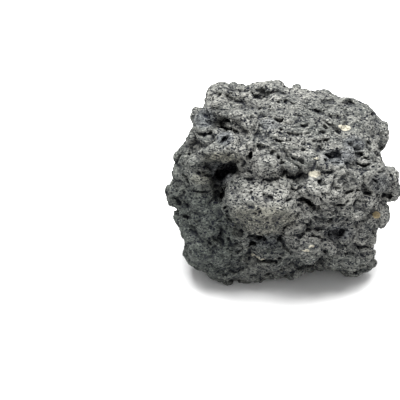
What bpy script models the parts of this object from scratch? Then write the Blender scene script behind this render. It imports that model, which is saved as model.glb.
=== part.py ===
"""A block of lava rock: one piece of grey vesicular stone, 120 mm across.

The block is a few rounded masses of stone with lumps, ledges and nodules fused to them. Pits and a deep cavity are
cut into it, flow bands and clinker roughen it all over, and it rests on a few worn flats. Sizes are in millimetres
and +Z is up. Its weathered face looks along -Y, and the finished block stands with the middle of its bounding box
over the origin.
"""
import math
import random
from dataclasses import dataclass

import bmesh
import bpy
from mathutils import Matrix, Vector

MM = 0.001

# The weathered face leans back by this much: its lumps are placed across, up and out from the block's middle.
FACE_LEAN = math.radians(40)
ACROSS = Vector((1, 0, 0))
UP = Vector((0, math.sin(FACE_LEAN), math.cos(FACE_LEAN)))
OUT = Vector((0, -math.cos(FACE_LEAN), math.sin(FACE_LEAN)))
FACE_AXES = Matrix((ACROSS, UP, OUT)).transposed()
WORLD_AXES = Matrix.Identity(3)

FUSE_VOXEL = 1.3
PIT_VOXEL = 0.8
SKIN_VOXEL = 1.2
MOST_TRIANGLES = 9300

# The worn flats lie at this height, and the block is cut off there.
REST_LEVEL = -43.0
GROUND_SIZE = 200.0
FAR = 150.0

STONE_COLOUR = (0.155, 0.155, 0.148, 1.0)
STONE_ROUGHNESS = 0.92


@dataclass(frozen=True)
class Lump:
    """A squarish ball of stone: its middle, its half sizes, its roll about the out axis in degrees."""

    name: str
    middle: tuple
    half: tuple
    roll: float = 0.0
    square: float = 2.3


@dataclass(frozen=True)
class Pit:
    """A hollow: its place on the surface, its half sizes along, across and into it, its roll in degrees."""

    name: str
    place: tuple
    half: tuple
    roll: float = 0.0


@dataclass(frozen=True)
class Relief:
    """A roughness of the whole surface: the width of its features, their height and how flat they lie."""

    name: str
    kind: str
    width: float
    height: float
    flatness: float = 1.0
    depth: int = 1


# The masses are placed in upright axes: x, y and z.
MASSES = (
    Lump("body", (8, 0, 1), (43, 40, 42), 0, 2.7),
    Lump("left_end", (-24, 6, -2), (26, 30, 39), 0, 2.6),
    Lump("back", (-2, 17, 0), (44, 22, 37), 0, 2.8),
    Lump("back_foot_left", (-25, 20, -34), (15, 13, 12), 0, 2.4),
    Lump("back_foot_right", (27, 17, -34), (13, 14, 12), 0, 2.4),
)

# The lumps of the weathered face are placed across, up and out.
FACE_LUMPS = (
    # along the top edge, left to right
    Lump("left_shoulder", (-30, 41, 0), (9.5, 9, 14), 0, 2.4),
    Lump("crest_left", (-10, 40.5, -2), (15, 10.5, 16), 0, 2.4),
    Lump("crest_right", (7, 37.5, 0), (13, 9.5, 16), -10, 2.4),
    Lump("crest_saddle", (22, 33.5, 2), (9, 8.5, 15), 0, 2.4),
    Lump("right_shoulder", (36.5, 32.5, 0), (12, 9.5, 15), -24, 2.4),
    # down the right side
    Lump("right_ear", (49, 22, 2), (6.5, 8, 12), 0, 2.2),
    Lump("right_corner", (49, -1, 6), (10.5, 9.5, 18), 0, 2.0),
    Lump("right_cheek", (42.5, -16, 8), (9, 8.5, 16), 0, 2.4),
    Lump("right_flank", (39.5, -28, 2), (8.5, 9.5, 15), 0, 2.4),
    Lump("right_heel", (37, -40.5, -4), (10.5, 7.5, 14), 0, 2.4),
    # along the foot, right to left
    Lump("right_foot", (27, -41, -5), (10, 6, 12), 0, 2.4),
    Lump("middle_foot", (4, -42.5, -4), (15, 7.5, 14), 0, 2.4),
    Lump("left_foot", (-17.5, -42, -3), (12, 10.3, 14), 0, 2.3),
    Lump("left_sole", (-31, -41, -2), (12, 10, 14), -10, 2.2),
    Lump("left_heel", (-41, -34.5, -2), (9.5, 10, 16), 0, 2.2),
    # up the left side
    Lump("left_hip", (-44, -26, 2), (8, 9, 16), 0, 2.3),
    Lump("left_cheek", (-47, -18.5, 5), (8, 6.5, 14), 0, 2.3),
    Lump("left_nose", (-50, -5, 6), (10.5, 6, 12), 28, 2.1),
    Lump("left_flank", (-43.5, 6.5, 8), (10.5, 15, 18), 12, 2.3),
    Lump("left_temple", (-36, 26.5, 10), (9.5, 12, 14), 14, 2.3),
    # the great nodule and what hangs over the cavity beside it
    Lump("great_nodule", (-13, -12.5, 32), (19.5, 14, 16), -4, 2.2),
    Lump("nodule_brow", (-19, -2, 33), (9, 9.5, 11), 30, 2.2),
    Lump("nodule_shoulder", (-17.5, 3, 37), (7.5, 5, 8), 55, 2.2),
    Lump("small_nodule", (-10, 7.5, 42), (7.5, 7.5, 8), 0, 2.1),
    Lump("nodule_cheek", (1, -5, 36), (7, 6, 9), 0, 2.3),
    Lump("ledge_left", (-34, 12.5, 32), (9, 5, 12), 8, 3.0),
    Lump("ledge_middle", (-22, 13, 39), (8, 5, 10), 8, 2.8),
    Lump("ledge_knob_left", (-26, 19, 36), (5, 5, 7), 0, 2.3),
    Lump("ledge_knob_right", (-17.5, 16.5, 40), (4.5, 4.5, 6), 0, 2.2),
    Lump("roof_block", (-19.5, 28, 35), (8, 4.5, 8), -25, 3.4),
    Lump("clinker_low", (-36, 20, 27), (6, 6, 8), 15, 2.8),
    Lump("clinker_middle", (-39, 28.5, 20), (5.5, 5.5, 8), 0, 2.8),
    Lump("clinker_high", (-31, 33.5, 24), (6, 5, 8), -15, 2.8),
    # the left face below the cavity
    Lump("shelf", (-40, -0.5, 22), (8, 4.5, 10), 0, 2.4),
    Lump("tongue", (-34, 4.3, 21), (5, 1.8, 8), 5, 2.4),
    Lump("left_slope_high", (-41.5, -11, 17), (8, 7, 11), 0, 2.6),
    Lump("left_slope_low", (-35, -23, 17), (9, 8, 11), 0, 2.6),
    Lump("left_slope_foot", (-38, -34, 9), (10, 8, 13), 0, 2.6),
    Lump("chunk_high", (-22, -27, 20), (8, 5.5, 9), -20, 2.8),
    Lump("chunk_low", (-28, -34, 14), (8, 6, 10), 0, 2.6),
    Lump("low_middle", (-6, -40.5, 8), (10, 6, 11), 0, 2.4),
    Lump("recess_floor", (-9, -32, 14), (8, 6, 9), -12, 2.6),
    # the right face below the plateau
    Lump("chin", (8.5, -31.5, 20), (11, 8, 12), -30, 2.3),
    Lump("oval", (22.5, -33, 19), (3.2, 4.5, 6), 0, 2.1),
    Lump("right_low", (30.5, -38.5, 10), (12, 7, 12), 0, 2.4),
    Lump("cobble_a", (13.5, -5, 34), (8, 7, 10), 0, 2.4),
    Lump("cobble_b", (26, -4, 31), (7, 6, 9), 20, 2.4),
    Lump("cobble_c", (37, 0, 26), (7, 7, 10), 0, 2.4),
    Lump("cobble_d", (28, -15.5, 26), (8, 5.5, 9), 0, 2.4),
    Lump("cobble_e", (15.5, -17.5, 28), (8, 6.5, 9), 10, 2.4),
    Lump("cobble_f", (23, -26, 20), (8, 5.5, 9), 0, 2.4),
    Lump("cobble_g", (36, -25, 15), (8, 6, 9), 0, 2.4),
)

# The pits of the weathered face, placed across and up; each is sunk into whatever surface lies there.
FACE_PITS = (
    Pit("cavity", (-27.5, 5.5), (5.6, 4.0, 14), 15),
    Pit("cavity_back", (-31, 2.5), (5, 3.4, 12), 25),
    Pit("cavity_slot", (-32.3, -5), (2.3, 6.5, 5), 8),
    Pit("nodule_foot", (-24, -21.5), (8, 2.4, 8), -32),
    Pit("recess", (-13, -28.3), (3.2, 1.8, 4), -12),
    Pit("recess_end", (-2.2, -28.3), (3.4, 2.2, 5), 30),
    Pit("chunk_gap", (-16.5, -31.5), (2.4, 2.6, 5), -20),
    Pit("nodule_slit", (-9, -8.5), (3.2, 1.6, 3), 0),
    Pit("nodule_crease", (-6, -0.5), (4.5, 1.4, 2.2), -6),
    Pit("round_hole", (10.5, -11), (2.8, 2.4, 7), 0),
    Pit("bright_pit", (4.5, 1.5), (4.5, 2.6, 6), -20),
    Pit("plateau_pit", (25, 23.5), (3.0, 2.4, 5), 0),
    Pit("shoulder_pit", (33.5, 38), (3.2, 2.4, 5), 0),
    Pit("saddle_pit", (23, 38), (3.4, 2.6, 5), 0),
    Pit("crest_pit", (-10.5, 43.5), (3.6, 2.6, 5), 0),
    Pit("crest_dip", (3.5, 38.5), (4, 2, 4), 0),
    Pit("band_pit", (-1.5, 28), (4.5, 2.2, 4), 0),
    Pit("right_pit", (35, 12), (2.8, 2.4, 5), 0),
    Pit("middle_pit", (21, 11), (3.6, 2.4, 5), 0),
    Pit("upper_pit", (15, 15), (3.0, 2.2, 4), 0),
    Pit("cobble_pit", (29, -0.5), (3.2, 3.4, 5), 30),
    Pit("low_pit", (26, -27.5), (3.6, 2.6, 5), 0),
    Pit("crease", (22, -20.5), (13, 1.7, 4), 6),
    Pit("clinker_pit", (-28, 27.5), (3.4, 3.6, 7), 20),
    Pit("side_pit", (-38.5, 22.5), (2.4, 4.4, 6), 15),
    Pit("cheek_pit", (42.5, -17.5), (3.2, 2.6, 5), 0),
    Pit("foot_notch", (17, -42.5), (6, 3.4, 10), 0),
)
PIT_SINK = 0.15

RELIEFS = (
    Relief("swells", "CLOUDS", 22.0, 2.5),
    Relief("flow_bands", "CLOUDS", 12.0, 3.6, 0.4, 2),
    Relief("clinker", "VORONOI", 9.0, 4.0, 0.8),
    Relief("crumbs", "CLOUDS", 4.5, 2.4, 0.7, 2),
)
FLOW_TILT = (math.radians(6), math.radians(-3), 0.0)

# The sides that look away from the weathered face carry their own lumps and pits, spread in a turning row.
SEED = 41
BACK_LUMPS = 26
BACK_LUMP_SIZE = (5.0, 10.0)
BACK_PITS = 44
BACK_PIT_SIZE = (1.8, 4.6)
TURN = math.radians(137.5)
FACE_LIMIT = -0.35


def add_ball(shape, lump, axes):
    """Adds one lump to a bmesh: a ball drawn out towards a box by its square number."""
    made = bmesh.ops.create_icosphere(shape, subdivisions=4, radius=1.0)
    place = Matrix.Translation(axes @ Vector(lump.middle)) @ axes.to_4x4()
    place @= Matrix.Rotation(math.radians(lump.roll), 4, "Z") @ Matrix.Diagonal(lump.half).to_4x4()
    for vert in made["verts"]:
        reach = sum(abs(c) ** lump.square for c in vert.co) ** (1 / lump.square)
        vert.co = place @ (vert.co / reach)


def spread_rays(count, seed):
    """Yields rays in a turning row over every side that looks away from the weathered face, with a chance each."""
    chance = random.Random(seed)
    for index in range(count):
        height = 1 - (2 * index + 1) / count
        turn = index * TURN + chance.uniform(-0.3, 0.3)
        ring = math.sqrt(1 - height * height)
        ray = Vector((ring * math.cos(turn), ring * math.sin(turn), height))
        if ray.dot(OUT) < FACE_LIMIT:
            yield ray, chance


def back_lumps():
    """Yields knobs on the main mass's skin."""
    body = MASSES[0]
    for ray, chance in spread_rays(BACK_LUMPS, SEED):
        reach = sum(abs(c) ** body.square for c in ray) ** (1 / body.square)
        spot = tuple(c * half / reach for c, half in zip(ray, body.half))
        size = chance.uniform(*BACK_LUMP_SIZE)
        half = tuple(size * chance.uniform(0.7, 1.2) for _ in range(3))
        yield Lump("back_lump", spot, half, chance.uniform(0, 180))


def new_object(name, shape, is_tool=False):
    """Makes an object of a bmesh, scaled from millimetres to metres."""
    bmesh.ops.scale(shape, vec=(MM, MM, MM), verts=shape.verts)
    mesh = bpy.data.meshes.new(name)
    shape.to_mesh(mesh)
    shape.free()
    made = bpy.data.objects.new(name, mesh)
    bpy.context.scene.collection.objects.link(made)
    if is_tool:
        made.hide_render = True
        made.display_type = "WIRE"
    return made


def add_remesh(target, voxel):
    """Fuses everything in the object into one closed skin."""
    fuse = target.modifiers.new("fuse", "REMESH")
    fuse.mode = "VOXEL"
    fuse.voxel_size = voxel * MM


def add_cut(target, cutter):
    """Cuts the cutter's shape out of the object, which carries its cutter along."""
    cutter.parent = target
    cut = target.modifiers.new(cutter.name, "BOOLEAN")
    cut.operation = "DIFFERENCE"
    cut.solver = "EXACT"
    cut.object = cutter


def add_relief(target, relief):
    """Roughens the object with one kind of relief, laid flat along the flow."""
    axes = bpy.data.objects.new(relief.name + "_axes", None)
    axes.rotation_euler = FLOW_TILT
    axes.scale = (1.0, 1.0, relief.flatness)
    axes.parent = target
    bpy.context.scene.collection.objects.link(axes)
    texture = bpy.data.textures.new(relief.name, relief.kind)
    texture.noise_scale = relief.width * MM
    if relief.kind == "CLOUDS":
        texture.noise_depth = relief.depth
    push = target.modifiers.new(relief.name, "DISPLACE")
    push.texture = texture
    push.texture_coords = "OBJECT"
    push.texture_coords_object = axes
    push.strength = relief.height * MM
    push.mid_level = 0.5


def measured(target):
    """Returns the object's triangle count and the corners of its box, with its modifiers."""
    bpy.context.view_layer.update()
    seen = target.evaluated_get(bpy.context.evaluated_depsgraph_get())
    mesh = seen.to_mesh()
    mesh.calc_loop_triangles()
    count = len(mesh.loop_triangles)
    points = [vert.co for vert in mesh.vertices]
    low = Vector(min(point[axis] for point in points) for axis in range(3))
    high = Vector(max(point[axis] for point in points) for axis in range(3))
    seen.to_mesh_clear()
    return count, low, high


def build_block():
    """Fuses the masses and lumps into the rough block."""
    shape = bmesh.new()
    for mass in MASSES:
        add_ball(shape, mass, WORLD_AXES)
    for lump in FACE_LUMPS:
        add_ball(shape, lump, FACE_AXES)
    for lump in back_lumps():
        add_ball(shape, lump, WORLD_AXES)
    return new_object("lava_rock", shape)


def surface_point(rock, start, ray):
    """Returns where a ray from the start, in millimetres, first meets the rock as its modifiers leave it."""
    seen = rock.evaluated_get(bpy.context.evaluated_depsgraph_get())
    found, point, _, _ = seen.ray_cast(start * MM, ray)
    return point / MM if found else start


def build_pits(rock):
    """Makes the cutter that holds every pit, each sunk into the rock's surface."""
    bpy.context.view_layer.update()
    shape = bmesh.new()
    for pit in FACE_PITS:
        start = FACE_AXES @ Vector((*pit.place, FAR))
        spot = surface_point(rock, start, -OUT) - OUT * pit.half[2] * PIT_SINK
        add_ball(shape, Lump(pit.name, tuple(FACE_AXES.transposed() @ spot), pit.half, pit.roll, 2.0), FACE_AXES)
    for ray, chance in spread_rays(BACK_PITS, SEED + 1):
        spot = surface_point(rock, ray * FAR, -ray)
        size = chance.uniform(*BACK_PIT_SIZE)
        half = tuple(size * chance.uniform(0.7, 1.3) for _ in range(3))
        add_ball(shape, Lump("back_pit", tuple(spot), half, chance.uniform(0, 180), 2.0), WORLD_AXES)
    pits = new_object("pits", shape, is_tool=True)
    add_remesh(pits, PIT_VOXEL)
    return pits


def build_ground():
    """Makes the cutter that wears the flats on which the block rests."""
    shape = bmesh.new()
    bmesh.ops.create_cube(shape, size=GROUND_SIZE)
    bmesh.ops.translate(shape, vec=(0, 0, REST_LEVEL - GROUND_SIZE / 2), verts=shape.verts)
    return new_object("ground", shape, is_tool=True)


def stone_material():
    """The grey stone of the block."""
    stone = bpy.data.materials.new("vesicular_stone")
    stone.use_nodes = True
    shader = stone.node_tree.nodes["Principled BSDF"]
    shader.inputs["Base Color"].default_value = STONE_COLOUR
    shader.inputs["Roughness"].default_value = STONE_ROUGHNESS
    shader.inputs["Metallic"].default_value = 0.0
    return stone


def main():
    """Builds the block and stands it on the origin."""
    for old in list(bpy.data.objects):
        bpy.data.objects.remove(old, do_unlink=True)

    rock = build_block()
    rock.data.materials.append(stone_material())
    add_remesh(rock, FUSE_VOXEL)
    for relief in RELIEFS:
        add_relief(rock, relief)
    add_remesh(rock, FUSE_VOXEL)
    add_cut(rock, build_pits(rock))
    add_remesh(rock, SKIN_VOXEL)

    triangles, _, _ = measured(rock)
    thin = rock.modifiers.new("thin", "DECIMATE")
    thin.ratio = min(1.0, MOST_TRIANGLES / triangles)
    add_cut(rock, build_ground())

    _, low, high = measured(rock)
    middle = (low + high) / 2
    rock.location = (-middle.x, -middle.y, -low.z)


if __name__ == "__main__":
    main()
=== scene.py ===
"""The looks of a block of lava rock: its broken stone skin, its pale crystals, and the studio round it.

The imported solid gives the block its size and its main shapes. A field of signed distances is worked out from
it on a lattice, roughened and pocked there as whole arrays, and turned back into one closed skin that stands
for the solid. Sizes in the dataclasses are millimetres and rolls are degrees. Face places are across, up and
out from the block's middle, where the weathered face leans back by FACE_LEAN.
"""

import itertools
import logging
import math
from dataclasses import dataclass, field
from enum import Enum

import bpy
import numpy as np
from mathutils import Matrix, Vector
from mathutils.bvhtree import BVHTree

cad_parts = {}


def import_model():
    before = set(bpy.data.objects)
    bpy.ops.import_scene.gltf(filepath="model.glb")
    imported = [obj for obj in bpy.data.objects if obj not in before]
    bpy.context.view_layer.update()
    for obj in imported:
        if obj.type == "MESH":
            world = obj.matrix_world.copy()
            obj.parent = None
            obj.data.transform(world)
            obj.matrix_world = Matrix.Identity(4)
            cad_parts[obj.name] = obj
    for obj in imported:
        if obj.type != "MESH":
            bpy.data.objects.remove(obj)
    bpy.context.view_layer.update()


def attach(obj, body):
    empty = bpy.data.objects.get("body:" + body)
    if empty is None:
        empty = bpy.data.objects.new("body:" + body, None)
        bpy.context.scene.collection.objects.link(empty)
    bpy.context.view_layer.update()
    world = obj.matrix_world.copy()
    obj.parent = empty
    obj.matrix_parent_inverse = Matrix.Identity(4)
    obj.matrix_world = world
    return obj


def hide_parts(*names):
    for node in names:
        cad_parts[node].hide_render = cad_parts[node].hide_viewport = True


MM = 0.001
NODE = "lava_rock"
BODY = "root"

# The block's middle, from which its lumps are placed, stands this high over the middle of its base.
MIDDLE = np.array((0.0, -0.2, 43.0))
FACE_LEAN = math.radians(40)
ACROSS = np.array((1.0, 0.0, 0.0))
UP = np.array((0.0, math.sin(FACE_LEAN), math.cos(FACE_LEAN)))
OUT = np.array((0.0, -math.cos(FACE_LEAN), math.sin(FACE_LEAN)))

# A lattice cell's corners, and its edges by their axis and lower end.
CELL_CORNERS = list(np.ndindex(2, 2, 2))
CELL_EDGES = [(axis, start) for axis in range(3) for start in CELL_CORNERS if start[axis] == 0]

# The weathered face is looked for along a line: from how far out, to how far, and in what steps.
FACE_LINE = (70.0, -60.0, -0.3)

# In half sizes from its middle, a zone counts less over the fade, and not at all past the outer limit.
ZONE_OUTER = 1.25
ZONE_FADE = 0.5

# The space in which crumbs, bubbles and lumps are placed is bent by two noises, each of a width and a reach.
BENDS = ((6.0, 0.9), (2.3, 0.42))
# How much the smooth zone takes from the roughness, and the plateau from what breaks the rest of the stone.
SMOOTH_SHARE = 0.85
PLATEAU_SHARE = 0.6

# A crumb, in its widths: where its middle may lie in its cell, how near the surface, and how far it reaches.
CRUMB_PLACES = (-0.1, 0.9)
CRUMB_SEARCH = 1.1
CRUMB_REACH = 1.45
# Their tops fall off by this much of the squared distance, and their steps fade in over this gap.
CRUMB_FALL = 2.2
CRUMB_EDGE = 0.7
# The noise that lets clefts come and go: its width in crumb widths, its share, its middle and its most.
CLEFT_WIDTH = 1.6
CLEFT_SWING = 0.7
CLEFT_MIDDLE = 0.55
CLEFT_MOST = 1.3

# Small bubbles are commoner by this power. A middle lies this many radii in, and widths vary this much.
BUBBLE_POWER = 2.2
BUBBLE_SINK = (-0.15, 0.5)
BUBBLE_WIDTH = (0.75, 1.3)

# A hollow's main ellipsoid has this share of its size, and the four that break its rim lie this far along it,
# have this share and stray this far from the quarters of a turn.
HOLLOW_SHARE = 0.88
RIM_PLACE = 0.75
RIM_SHARES = (0.35, 0.55)
RIM_STRAY = 0.6
RIM_BEND = 1.5

# A crevice's ellipsoids: their spacing, their wander and their taper in widths, their share at the ends, how
# much they vary, and how much of the bending they take.
CREVICE_STEP = 0.8
CREVICE_WANDER = 0.25
CREVICE_TAPER = 2
CREVICE_END = 0.55
CREVICE_VARIES = (0.75, 1.25)
CREVICE_BEND = 0.8

# How far the field is averaged to find its spikes and folds, and how often and how hard it is worn.
FOLD_REACH = 1.2
WEAR_ROUNDS = 3
WEAR_SLOPE = 3

log = logging.getLogger("lava_rock")


def linear(hex_colour: str) -> tuple[float, float, float, float]:
    """Turns an sRGB hex colour into the linear values that shaders take.

    Args:
        hex_colour: Six hex digits after a hash sign.

    Returns:
        Red, green, blue and a full alpha.
    """
    channels = [int(hex_colour[i : i + 2], 16) / 255 for i in (1, 3, 5)]
    turned = [c / 12.92 if c <= 0.04045 else ((c + 0.055) / 1.055) ** 2.4 for c in channels]
    return (turned[0], turned[1], turned[2], 1.0)


def face_point(across: float, up: float, out: float = 0.0) -> np.ndarray:
    """Turns a face place into a point in millimetres in the row frame."""
    return MIDDLE + ACROSS * across + UP * up + OUT * out


def points_of(mesh: bpy.types.Mesh) -> np.ndarray:
    """Reads a mesh's points.

    Args:
        mesh: The mesh.

    Returns:
        The points, one a row.
    """
    points = np.empty(len(mesh.vertices) * 3, np.float32)
    mesh.vertices.foreach_get("co", points)
    return points.reshape(-1, 3)


class Blend(Enum):
    """How a tint is laid over the colour below it."""

    COVERS = "MIX"
    DARKENS = "MULTIPLY"


@dataclass(frozen=True)
class Zone:
    """A soft-edged region of the weathered face: its middle, its half sizes, and how strongly it counts."""

    middle: tuple[float, float, float]
    half: tuple[float, float, float]
    weight: float = 1.0


def share_in(parts: tuple[Zone, ...], face: tuple[np.ndarray, np.ndarray, np.ndarray]) -> np.ndarray:
    """Works out how far places lie in a region: one minus the product of what each of its zones leaves.

    A zone's share falls from its weight to nothing while the distance from its middle, in half sizes, goes
    through the fade to the outer limit.

    Args:
        parts: The zones.
        face: The places across, up and out.

    Returns:
        Values from 0 to 1.
    """
    left = np.float32(1.0)
    for zone in parts:
        reach = np.sqrt(sum(((face[a] - zone.middle[a]) / zone.half[a]) ** 2 for a in range(3)))
        left = left * (1 - zone.weight * np.clip((ZONE_OUTER - reach) / ZONE_FADE, 0, 1)).astype(np.float32)
    return 1 - left


@dataclass(frozen=True)
class Relief:
    """One layer of roughness: the width of its features along x, y and z, its height, and where it lies."""

    name: str
    width: tuple[float, float, float]
    height: float
    zone: str


@dataclass(frozen=True)
class Crumbs:
    """A layer of packed crumbs with bulging tops, set in and out and leaning, and clefts between them."""

    name: str
    width: tuple[float, float, float]
    bulge: float
    step: float
    lean: float
    cleft: float
    gap: float
    zone: str


@dataclass(frozen=True)
class Knob:
    """A lump on the weathered face: its place, half sizes across, up and out, roll, and how proud it is."""

    name: str
    place: tuple[float, float]
    half: tuple[float, float, float]
    roll: float = 0.0
    proud: float = 1.0


@dataclass(frozen=True)
class Hollow:
    """A hollow of the weathered face: its place, half sizes across, up and in, and roll.

    Its middle is sunk below the surface by a share of its half size inwards.
    """

    name: str
    place: tuple[float, float]
    half: tuple[float, float, float]
    roll: float = 0.0
    sink: float = 0.1


@dataclass(frozen=True)
class Crevice:
    """A dark line between lumps of the weathered face: its path, half its width, and its depth."""

    name: str
    path: tuple[tuple[float, float], ...]
    width: float
    depth: float


@dataclass(frozen=True)
class Bubbles:
    """Gas bubbles that the surface cut open: their number, least and greatest radius, stretch and zone."""

    name: str
    count: int
    radius: tuple[float, float]
    width: tuple[float, float, float]
    zone: str


@dataclass
class Lattice:
    """A regular lattice of points round the block, on which the stone's field is worked out."""

    low: np.ndarray
    high: np.ndarray
    step: float
    shape: tuple[int, int, int] = field(init=False)

    def __post_init__(self) -> None:
        """Works out how many points the lattice has each way."""
        self.shape = tuple(int(n) for n in np.ceil((self.high - self.low) / self.step) + 1)

    def axes(self) -> list[np.ndarray]:
        """Returns the coordinates along x, y and z, shaped to broadcast."""
        lines = [(self.low[a] + self.step * np.arange(self.shape[a])).astype(np.float32) for a in range(3)]
        return [line.reshape([-1 if a == b else 1 for b in range(3)]) for a, line in enumerate(lines)]

    def spline(self, values: np.ndarray, low: np.ndarray, steps: tuple[float, float, float]) -> np.ndarray:
        """Draws a coarse lattice of values out over this one with cubic B-splines, one axis after the other.

        Each point takes the four nearest coarse values along an axis, weighted by the B-spline's four pieces.

        Args:
            values: The coarse values.
            low: Where the coarse lattice starts.
            steps: Its step along x, y and z.

        Returns:
            One value for each point of this lattice.
        """
        result = values.astype(np.float32)
        for axis in range(3):
            place = (self.low[axis] + self.step * np.arange(self.shape[axis]) - low[axis]) / steps[axis]
            cell = np.floor(place).astype(int)
            t = place - cell
            pieces = (
                (1 - t) ** 3 / 6,
                (3 * t**3 - 6 * t**2 + 4) / 6,
                (-3 * t**3 + 3 * t**2 + 3 * t + 1) / 6,
                t**3 / 6,
            )
            weights = np.zeros((self.shape[axis], values.shape[axis]), np.float32)
            rows = np.arange(self.shape[axis])
            for offset, piece in zip((-1, 0, 1, 2), pieces):
                np.add.at(weights, (rows, np.clip(cell + offset, 0, values.shape[axis] - 1)), piece)
            result = np.moveaxis(np.tensordot(weights, result, axes=(1, axis)), 0, axis)
        return result

    def noise(self, width: tuple[float, float, float], seed: int) -> np.ndarray:
        """Makes smooth noise of about unit size whose features are this wide along x, y and z.

        Args:
            width: Millimetres between the coarse values.
            seed: Picks the coarse values.

        Returns:
            One value for each point of the lattice.
        """
        counts = [int(math.ceil((self.high[a] - self.low[a]) / width[a])) + 5 for a in range(3)]
        coarse = np.random.default_rng(seed).standard_normal(counts)
        drawn = self.spline(coarse, self.low - 2 * np.array(width), width)
        return drawn / drawn.std()

    def sample(self, values: np.ndarray, points: np.ndarray) -> np.ndarray:
        """Reads the lattice's values at free points, trilinearly between the eight nearest.

        Args:
            values: One value for each point of the lattice.
            points: Places in millimetres, one a row.

        Returns:
            One value a row.
        """
        place = np.clip((points - self.low) / self.step, 0, np.array(self.shape) - 1.001)
        cell = place.astype(int)
        t = place - cell
        total = np.zeros(len(points))
        for corner in np.ndindex(2, 2, 2):
            part = np.prod(np.where(np.array(corner) == 1, t, 1 - t), axis=1)
            at = cell + np.array(corner)
            total += part * values[at[:, 0], at[:, 1], at[:, 2]]
        return total

    def blur(self, values: np.ndarray, reach: float) -> np.ndarray:
        """Averages the values over a box, twice, one axis after the other, by differences of running sums.

        Args:
            values: One value for each point of the lattice.
            reach: How far the box goes each way.

        Returns:
            The averages.
        """
        count = max(1, int(round(reach / self.step)))
        result = values.astype(np.float32)
        for axis in (0, 1, 2, 0, 1, 2):
            pad = [(count + 1, count) if a == axis else (0, 0) for a in range(3)]
            total = np.cumsum(np.pad(result, pad, mode="edge"), axis=axis, dtype=np.float64)
            ahead = np.take(total, range(2 * count + 1, total.shape[axis]), axis)
            behind = np.take(total, range(total.shape[axis] - 2 * count - 1), axis)
            result = ((ahead - behind) / (2 * count + 1)).astype(np.float32)
        return result


def sheets_in_cells() -> np.ndarray:
    """Works out which sheet of the surface crosses each edge of a cell, for every set of inside corners.

    The crossed edges of a cell's side belong to one sheet if there are two. If there are four, those that
    meet at an inside corner do, so that the two cells that share the side agree.

    Returns:
        A row of twelve sheet numbers for each of the 256 sets, with -1 for an edge that is not crossed.
    """
    ends = [(start, tuple(1 if a == axis else c for a, c in enumerate(start))) for axis, start in CELL_EDGES]
    table = np.full((256, len(CELL_EDGES)), -1)
    for which in range(256):
        inside = {corner: which >> place & 1 for place, corner in enumerate(CELL_CORNERS)}
        sheet = {edge: edge for edge, (one, two) in enumerate(ends) if inside[one] != inside[two]}
        for axis, side in itertools.product(range(3), (0, 1)):
            crossed = [edge for edge in sheet if all(corner[axis] == side for corner in ends[edge])]
            for one, two in itertools.combinations(crossed, 2):
                if len(crossed) == 2 or any(inside[corner] for corner in set(ends[one]) & set(ends[two])):
                    old, new = sheet[one], sheet[two]
                    sheet = {edge: new if own == old else own for edge, own in sheet.items()}
        order = sorted(set(sheet.values()))
        for edge, own in sheet.items():
            table[which, edge] = order.index(own)
    return table


def skin_of(lattice: Lattice, values: np.ndarray) -> tuple[np.ndarray, np.ndarray]:
    """Finds the surface where the field is zero, by surface nets.

    Every sheet of the surface that crosses a lattice cell gets one point there, the mean of where it crosses
    the cell's edges, and every lattice edge that is crossed gets one four-sided face between its four cells.

    Args:
        lattice: Where the values lie.
        values: The field, below zero inside.

    Returns:
        Points in millimetres, and faces as rows of four indices, turned outwards.
    """
    inside = values < 0
    size = [n - 1 for n in inside.shape]
    which = np.zeros(size, np.int32)
    for place, corner in enumerate(CELL_CORNERS):
        part = inside[tuple(slice(first, first + n) for first, n in zip(corner, size))]
        which += part.astype(np.int32) << place
    cells = np.argwhere((which > 0) & (which < 255))
    at = {c: values[tuple((cells + np.array(c)).T)] for c in CELL_CORNERS}
    table = sheets_in_cells()
    sheets = table[which[tuple(cells.T)]]
    firsts = np.concatenate([[0], np.cumsum(sheets.max(axis=1) + 1)])
    total = np.zeros((firsts[-1], 3))
    crossings = np.zeros(firsts[-1])
    for edge, (axis, start) in enumerate(CELL_EDGES):
        end = tuple(1 if a == axis else c for a, c in enumerate(start))
        crossed = np.flatnonzero(sheets[:, edge] >= 0)
        first, second = at[start][crossed], at[end][crossed]
        spot = cells[crossed] + np.array(start, float)
        spot[:, axis] += first / (first - second)
        point = firsts[crossed] + sheets[crossed, edge]
        np.add.at(total, point, spot)
        np.add.at(crossings, point, 1)
    points = lattice.low + lattice.step * total / crossings[:, None]

    number = np.full(size, -1, np.int64)
    number[tuple(cells.T)] = firsts[:-1]
    faces = []
    for axis in range(3):
        ahead = np.take(inside, range(1, inside.shape[axis]), axis)
        behind = np.take(inside, range(inside.shape[axis] - 1), axis)
        edges = np.argwhere(ahead != behind)
        leaves = behind[tuple(edges.T)]
        one, two = [a for a in range(3) if a != axis]
        ring = []
        for back in ((0, 0), (1, 0), (1, 1), (0, 1)):
            cell = edges.copy()
            cell[:, one] -= back[0]
            cell[:, two] -= back[1]
            start = [0, 0, 0]
            start[one], start[two] = back
            edge = CELL_EDGES.index((axis, tuple(start)))
            here = tuple(cell.T)
            ring.append(number[here] + table[which[here], edge])
        quad = np.stack(ring, axis=1)
        turned = leaves if axis != 1 else ~leaves
        faces.append(np.where(turned[:, None], quad, quad[:, ::-1]))
    return points, np.concatenate(faces)


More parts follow.
